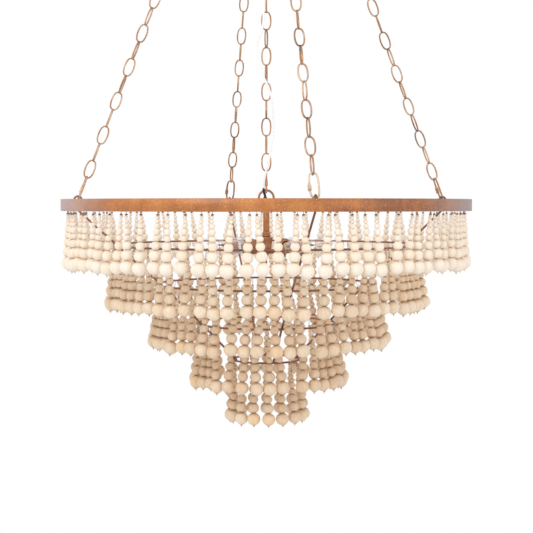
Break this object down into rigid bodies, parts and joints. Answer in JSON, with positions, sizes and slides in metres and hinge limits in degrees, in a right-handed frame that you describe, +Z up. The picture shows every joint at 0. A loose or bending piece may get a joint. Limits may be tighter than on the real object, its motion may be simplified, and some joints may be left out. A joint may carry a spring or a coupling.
{
  "type": "chandelier",
  "caption": "Tiered chandelier of wooden bead strands on a metal hoop and smaller rings, hung by chains from a ceiling canopy, with a centre lamp cluster.",
  "frame": {"origin": "middle of the ceiling plane that the canopy closes on", "axes": "+Z up; +X to the right and +Y away as the picture sees it"},
  "size_m": [0.8998, 0.8998, 1.6306],
  "materials": {
    "copper": "antique copper brown with fine pale specks, satin",
    "pale_brass": "pale worn brass",
    "pale_wood": "unvarnished pale wood, fine grain",
    "tan_wood": "unvarnished light tan wood, fine grain",
    "glass": "clear lamp glass",
    "cord": "clear jacket over silver wire",
    "rubber": "black",
    "zinc": "zinc plated"
  },
  "bodies": {
    "ceiling_mount": {"ceiling_bracket": "zinc", "threaded_nipple": "zinc", "hanging_loop": "copper"},
    "canopy": {"canopy_cup": "copper"},
    "collar": {"collar_nut": "copper"},
    "top_ring": {"top_ring": "copper"},
    "fixture": {"chain_right": "copper", "chain_back": "copper", "chain_left": "copper", "chain_front": "copper", "chain_centre": "copper", "quick_link_right": "copper", "quick_link_back": "copper", "quick_link_left": "copper", "quick_link_front": "pale_brass", "quick_link_centre": "copper", "hoop_band": "copper", "rail_ring": "copper", "ring_2": "copper", "ring_3": "copper", "ring_4": "copper", "ring_5": "copper", "rib_right": "copper", "rib_back": "copper", "rib_left": "copper", "rib_front": "copper", "strands_tier_1": "pale_wood", "strands_tier_2": "tan_wood", "strands_tier_3": "tan_wood", "strands_tier_4": "tan_wood", "stem_eye": "copper", "stem_tube": "copper", "cord_grommet": "rubber", "hub_body": "copper", "lamp_arms": "copper", "finial": "copper", "power_cord": "cord"},
    "bulb_1": {"bulb_1": "glass"},
    "bulb_2": {"bulb_2": "glass"},
    "bulb_3": {"bulb_3": "glass"},
    "bulb_4": {"bulb_4": "glass"},
    "bulb_5": {"bulb_5": "glass"},
    "bulb_6": {"bulb_6": "glass"},
    "strand_1": {"strand_tier_5_1": "tan_wood"},
    "strand_2": {"strand_tier_5_2": "tan_wood"},
    "strand_3": {"strand_tier_5_3": "tan_wood"},
    "strand_4": {"strand_tier_5_4": "tan_wood"},
    "strand_5": {"strand_tier_5_5": "tan_wood"},
    "strand_6": {"strand_tier_5_6": "tan_wood"},
    "strand_7": {"strand_tier_5_7": "tan_wood"},
    "strand_8": {"strand_tier_5_8": "tan_wood"},
    "strand_9": {"strand_tier_5_9": "tan_wood"},
    "strand_10": {"strand_tier_5_10": "tan_wood"},
    "strand_11": {"strand_tier_5_11": "tan_wood"},
    "strand_12": {"strand_tier_5_12": "tan_wood"},
    "strand_13": {"strand_tier_5_13": "tan_wood"},
    "strand_14": {"strand_tier_5_14": "tan_wood"},
    "strand_15": {"strand_tier_5_15": "tan_wood"},
    "strand_16": {"strand_tier_5_16": "tan_wood"}
  },
  "joints": [
    {"name": "canopy_slide", "type": "slide", "parent": "ceiling_mount", "child": "canopy", "axis": [0, 0, -1], "range_m": [0, 0.01]},
    {"name": "collar_turn", "type": "hinge", "parent": "canopy", "child": "collar", "pos_m": [0, 0, -0.0298], "axis": [0, 0, -1], "range_deg": [0, 1080]},
    {"name": "ring_rock", "type": "hinge", "parent": "ceiling_mount", "child": "top_ring", "pos_m": [0, 0, -0.05135], "axis": [0, 1, 0], "range_deg": [-10, 10], "deforming": ["power_cord"]},
    {"name": "fixture_swing", "type": "hinge", "parent": "top_ring", "child": "fixture", "pos_m": [0, 0, -0.1042], "axis": [1, 0, 0], "range_deg": [-10, 10], "deforming": ["power_cord"]},
    {"name": "bulb_1_turn", "type": "hinge", "parent": "fixture", "child": "bulb_1", "pos_m": [0.0673, 0, -1.2332], "axis": [1, 0, 0], "range_deg": [0, 900]},
    {"name": "bulb_2_turn", "type": "hinge", "parent": "fixture", "child": "bulb_2", "pos_m": [0.03365, 0.05828, -1.2332], "axis": [0.5, 0.866, 0], "range_deg": [0, 900]},
    {"name": "bulb_3_turn", "type": "hinge", "parent": "fixture", "child": "bulb_3", "pos_m": [-0.03365, 0.05828, -1.2332], "axis": [-0.5, 0.866, 0], "range_deg": [0, 900]},
    {"name": "bulb_4_turn", "type": "hinge", "parent": "fixture", "child": "bulb_4", "pos_m": [-0.0673, 0, -1.2332], "axis": [-1, 0, 0], "range_deg": [0, 900]},
    {"name": "bulb_5_turn", "type": "hinge", "parent": "fixture", "child": "bulb_5", "pos_m": [-0.03365, -0.05828, -1.2332], "axis": [-0.5, -0.866, 0], "range_deg": [0, 900]},
    {"name": "bulb_6_turn", "type": "hinge", "parent": "fixture", "child": "bulb_6", "pos_m": [0.03365, -0.05828, -1.2332], "axis": [0.5, -0.866, 0], "range_deg": [0, 900]},
    {"name": "strand_1_swing", "type": "hinge", "parent": "fixture", "child": "strand_1", "pos_m": [0.06838, 0.0308, -1.4872], "axis": [0.4107, -0.9118, 0], "range_deg": [-3, 15]},
    {"name": "strand_2_swing", "type": "hinge", "parent": "fixture", "child": "strand_2", "pos_m": [0.05139, 0.05463, -1.4872], "axis": [0.7284, -0.6852, 0], "range_deg": [-3, 15]},
    {"name": "strand_3_swing", "type": "hinge", "parent": "fixture", "child": "strand_3", "pos_m": [0.02657, 0.07014, -1.4872], "axis": [0.9351, -0.3543, 0], "range_deg": [-3, 15]},
    {"name": "strand_4_swing", "type": "hinge", "parent": "fixture", "child": "strand_4", "pos_m": [-0.00229, 0.07497, -1.4872], "axis": [0.9995, 0.0305, 0], "range_deg": [-3, 15]},
    {"name": "strand_5_swing", "type": "hinge", "parent": "fixture", "child": "strand_5", "pos_m": [-0.0308, 0.06838, -1.4872], "axis": [0.9118, 0.4107, 0], "range_deg": [-3, 15]},
    {"name": "strand_6_swing", "type": "hinge", "parent": "fixture", "child": "strand_6", "pos_m": [-0.05463, 0.05139, -1.4872], "axis": [0.6852, 0.7284, 0], "range_deg": [-3, 15]},
    {"name": "strand_7_swing", "type": "hinge", "parent": "fixture", "child": "strand_7", "pos_m": [-0.07014, 0.02657, -1.4872], "axis": [0.3543, 0.9351, 0], "range_deg": [-3, 15]},
    {"name": "strand_8_swing", "type": "hinge", "parent": "fixture", "child": "strand_8", "pos_m": [-0.07497, -0.00229, -1.4872], "axis": [-0.0305, 0.9995, 0], "range_deg": [-3, 15]},
    {"name": "strand_9_swing", "type": "hinge", "parent": "fixture", "child": "strand_9", "pos_m": [-0.06838, -0.0308, -1.4872], "axis": [-0.4107, 0.9118, 0], "range_deg": [-3, 15]},
    {"name": "strand_10_swing", "type": "hinge", "parent": "fixture", "child": "strand_10", "pos_m": [-0.05139, -0.05463, -1.4872], "axis": [-0.7284, 0.6852, 0], "range_deg": [-3, 15]},
    {"name": "strand_11_swing", "type": "hinge", "parent": "fixture", "child": "strand_11", "pos_m": [-0.02657, -0.07014, -1.4872], "axis": [-0.9351, 0.3543, 0], "range_deg": [-3, 15]},
    {"name": "strand_12_swing", "type": "hinge", "parent": "fixture", "child": "strand_12", "pos_m": [0.00229, -0.07497, -1.4872], "axis": [-0.9995, -0.0305, 0], "range_deg": [-3, 15]},
    {"name": "strand_13_swing", "type": "hinge", "parent": "fixture", "child": "strand_13", "pos_m": [0.0308, -0.06838, -1.4872], "axis": [-0.9118, -0.4107, 0], "range_deg": [-3, 15]},
    {"name": "strand_14_swing", "type": "hinge", "parent": "fixture", "child": "strand_14", "pos_m": [0.05463, -0.05139, -1.4872], "axis": [-0.6852, -0.7284, 0], "range_deg": [-3, 15]},
    {"name": "strand_15_swing", "type": "hinge", "parent": "fixture", "child": "strand_15", "pos_m": [0.07014, -0.02657, -1.4872], "axis": [-0.3543, -0.9351, 0], "range_deg": [-3, 15]},
    {"name": "strand_16_swing", "type": "hinge", "parent": "fixture", "child": "strand_16", "pos_m": [0.07497, 0.00229, -1.4872], "axis": [0.0305, -0.9995, 0], "range_deg": [-3, 15]}
  ]
}
